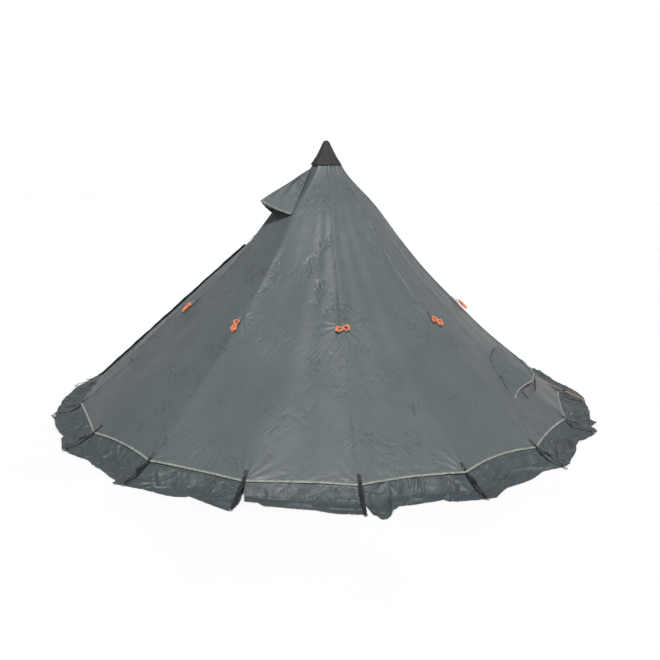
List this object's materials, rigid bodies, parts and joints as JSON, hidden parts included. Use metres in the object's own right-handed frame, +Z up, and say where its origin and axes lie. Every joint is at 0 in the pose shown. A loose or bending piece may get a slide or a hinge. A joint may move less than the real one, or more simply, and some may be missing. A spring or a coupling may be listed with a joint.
{
  "type": "teepee tent",
  "caption": "Single-pole teepee tent: sewn fabric cone with peak cap, two vents, zipped door, storm skirt, pegging straps and guylines",
  "frame": {"origin": "on the ground under the centre of the pole's foot", "axes": "+Z up along the pole, -Y towards the front panel, door towards -X"},
  "size_m": [5.0682, 5.0502, 2.397],
  "materials": {
    "wall_fabric": "matt coated ripstop",
    "skirt_fabric": "matt coated fabric",
    "cap_fabric": "matt heavy fabric",
    "mesh": "fine mesh",
    "webbing": "woven webbing",
    "binding": "reflective binding",
    "orange_cord": "braided cord",
    "black_plastic": "moulded",
    "zip_black": "coil zip",
    "aluminium": "anodised",
    "steel": "plated",
    "rubber": "moulded"
  },
  "bodies": {
    "tent": {"clamp_pin": "steel", "corner_webbing": "webbing", "door_panel_upper": "wall_fabric", "door_side_far": "wall_fabric", "door_side_near": "wall_fabric", "door_sill_strap": "webbing", "ground_vent_hood": "wall_fabric", "ground_vent_mesh": "mesh", "guy_loops": "black_plastic", "guyline_hanks": "orange_cord", "guyline_leads": "orange_cord", "hem_binding": "binding", "ladder_lock_buckles": "black_plastic", "peg_rings": "steel", "peg_straps": "webbing", "pole_clamp": "black_plastic", "pole_cup": "black_plastic", "pole_joiner": "aluminium", "pole_middle": "aluminium", "pole_plug": "black_plastic", "pole_upper": "aluminium", "seam_tapes": "wall_fabric", "storm_skirt_1": "skirt_fabric", "storm_skirt_2": "skirt_fabric", "storm_skirt_3": "skirt_fabric", "storm_skirt_4": "skirt_fabric", "storm_skirt_5": "skirt_fabric", "storm_skirt_6": "skirt_fabric", "storm_skirt_7": "skirt_fabric", "storm_skirt_8": "skirt_fabric", "storm_skirt_9": "skirt_fabric", "strut_clip": "black_plastic", "tieback_toggles": "black_plastic", "top_cap": "cap_fabric", "upper_vent_hood": "wall_fabric", "upper_vent_mesh": "mesh", "vent_guy_cord": "orange_cord", "vent_piping": "binding", "wall_panel_1": "wall_fabric", "wall_panel_2": "wall_fabric", "wall_panel_3": "wall_fabric", "wall_panel_4": "wall_fabric", "wall_panel_5": "wall_fabric", "wall_panel_6": "wall_fabric", "wall_panel_7": "wall_fabric", "wall_panel_8": "wall_fabric"},
    "door_flap_near": {"door_flap_near": "wall_fabric", "door_zip_near": "zip_black", "flap_loop_near": "black_plastic"},
    "door_flap_far": {"door_flap_far": "wall_fabric", "door_zip_far": "zip_black", "door_storm_flap": "wall_fabric", "flap_loop_far": "black_plastic"},
    "zip_slider": {"zip_slider": "zip_black"},
    "zip_puller": {"zip_puller": "orange_cord"},
    "vent_strut": {"upper_vent_strut": "aluminium"},
    "pole_lower": {"pole_lower": "aluminium", "pole_foot": "rubber"},
    "clamp_lever": {"clamp_lever": "black_plastic"},
    "cord_runner": {"vent_cord_runner": "black_plastic"}
  },
  "joints": [
    {"name": "door_flap_near_hinge", "type": "hinge", "parent": "tent", "child": "door_flap_near", "pos_m": [-0.63695, 0.00171, 1.542], "axis": [0.7082, 0.237, 0.665], "range_deg": [0, 130]},
    {"name": "door_flap_far_hinge", "type": "hinge", "parent": "tent", "child": "door_flap_far", "pos_m": [-0.63186, 0.08034, 1.542], "axis": [-0.6718, 0.3263, -0.665], "range_deg": [0, 130]},
    {"name": "zip_slide", "type": "slide", "parent": "tent", "child": "zip_slider", "axis": [-0.7428, 0.048, -0.6678], "range_m": [0, 2.051]},
    {"name": "zip_puller_hinge", "type": "hinge", "parent": "zip_slider", "child": "zip_puller", "pos_m": [-0.66844, 0.04323, 1.53335], "axis": [0.0645, 0.9979, 0], "range_deg": [0, 150]},
    {"name": "vent_strut_fold", "type": "hinge", "parent": "tent", "child": "vent_strut", "pos_m": [-0.39281, -0.28855, 1.773], "axis": [0.592, -0.8059, 0], "range_deg": [0, 70]},
    {"name": "pole_length", "type": "slide", "parent": "tent", "child": "pole_lower", "axis": [0, 0, 1], "range_m": [0, 0.3]},
    {"name": "clamp_lever_hinge", "type": "hinge", "parent": "tent", "child": "clamp_lever", "pos_m": [-0.008, -0.028, 0.7], "axis": [0, 0, -1], "range_deg": [0, 120]},
    {"name": "cord_runner_slide", "type": "slide", "parent": "tent", "child": "cord_runner", "axis": [0.7088, 0.5739, -0.4101], "range_m": [0, 0.15]}
  ]
}
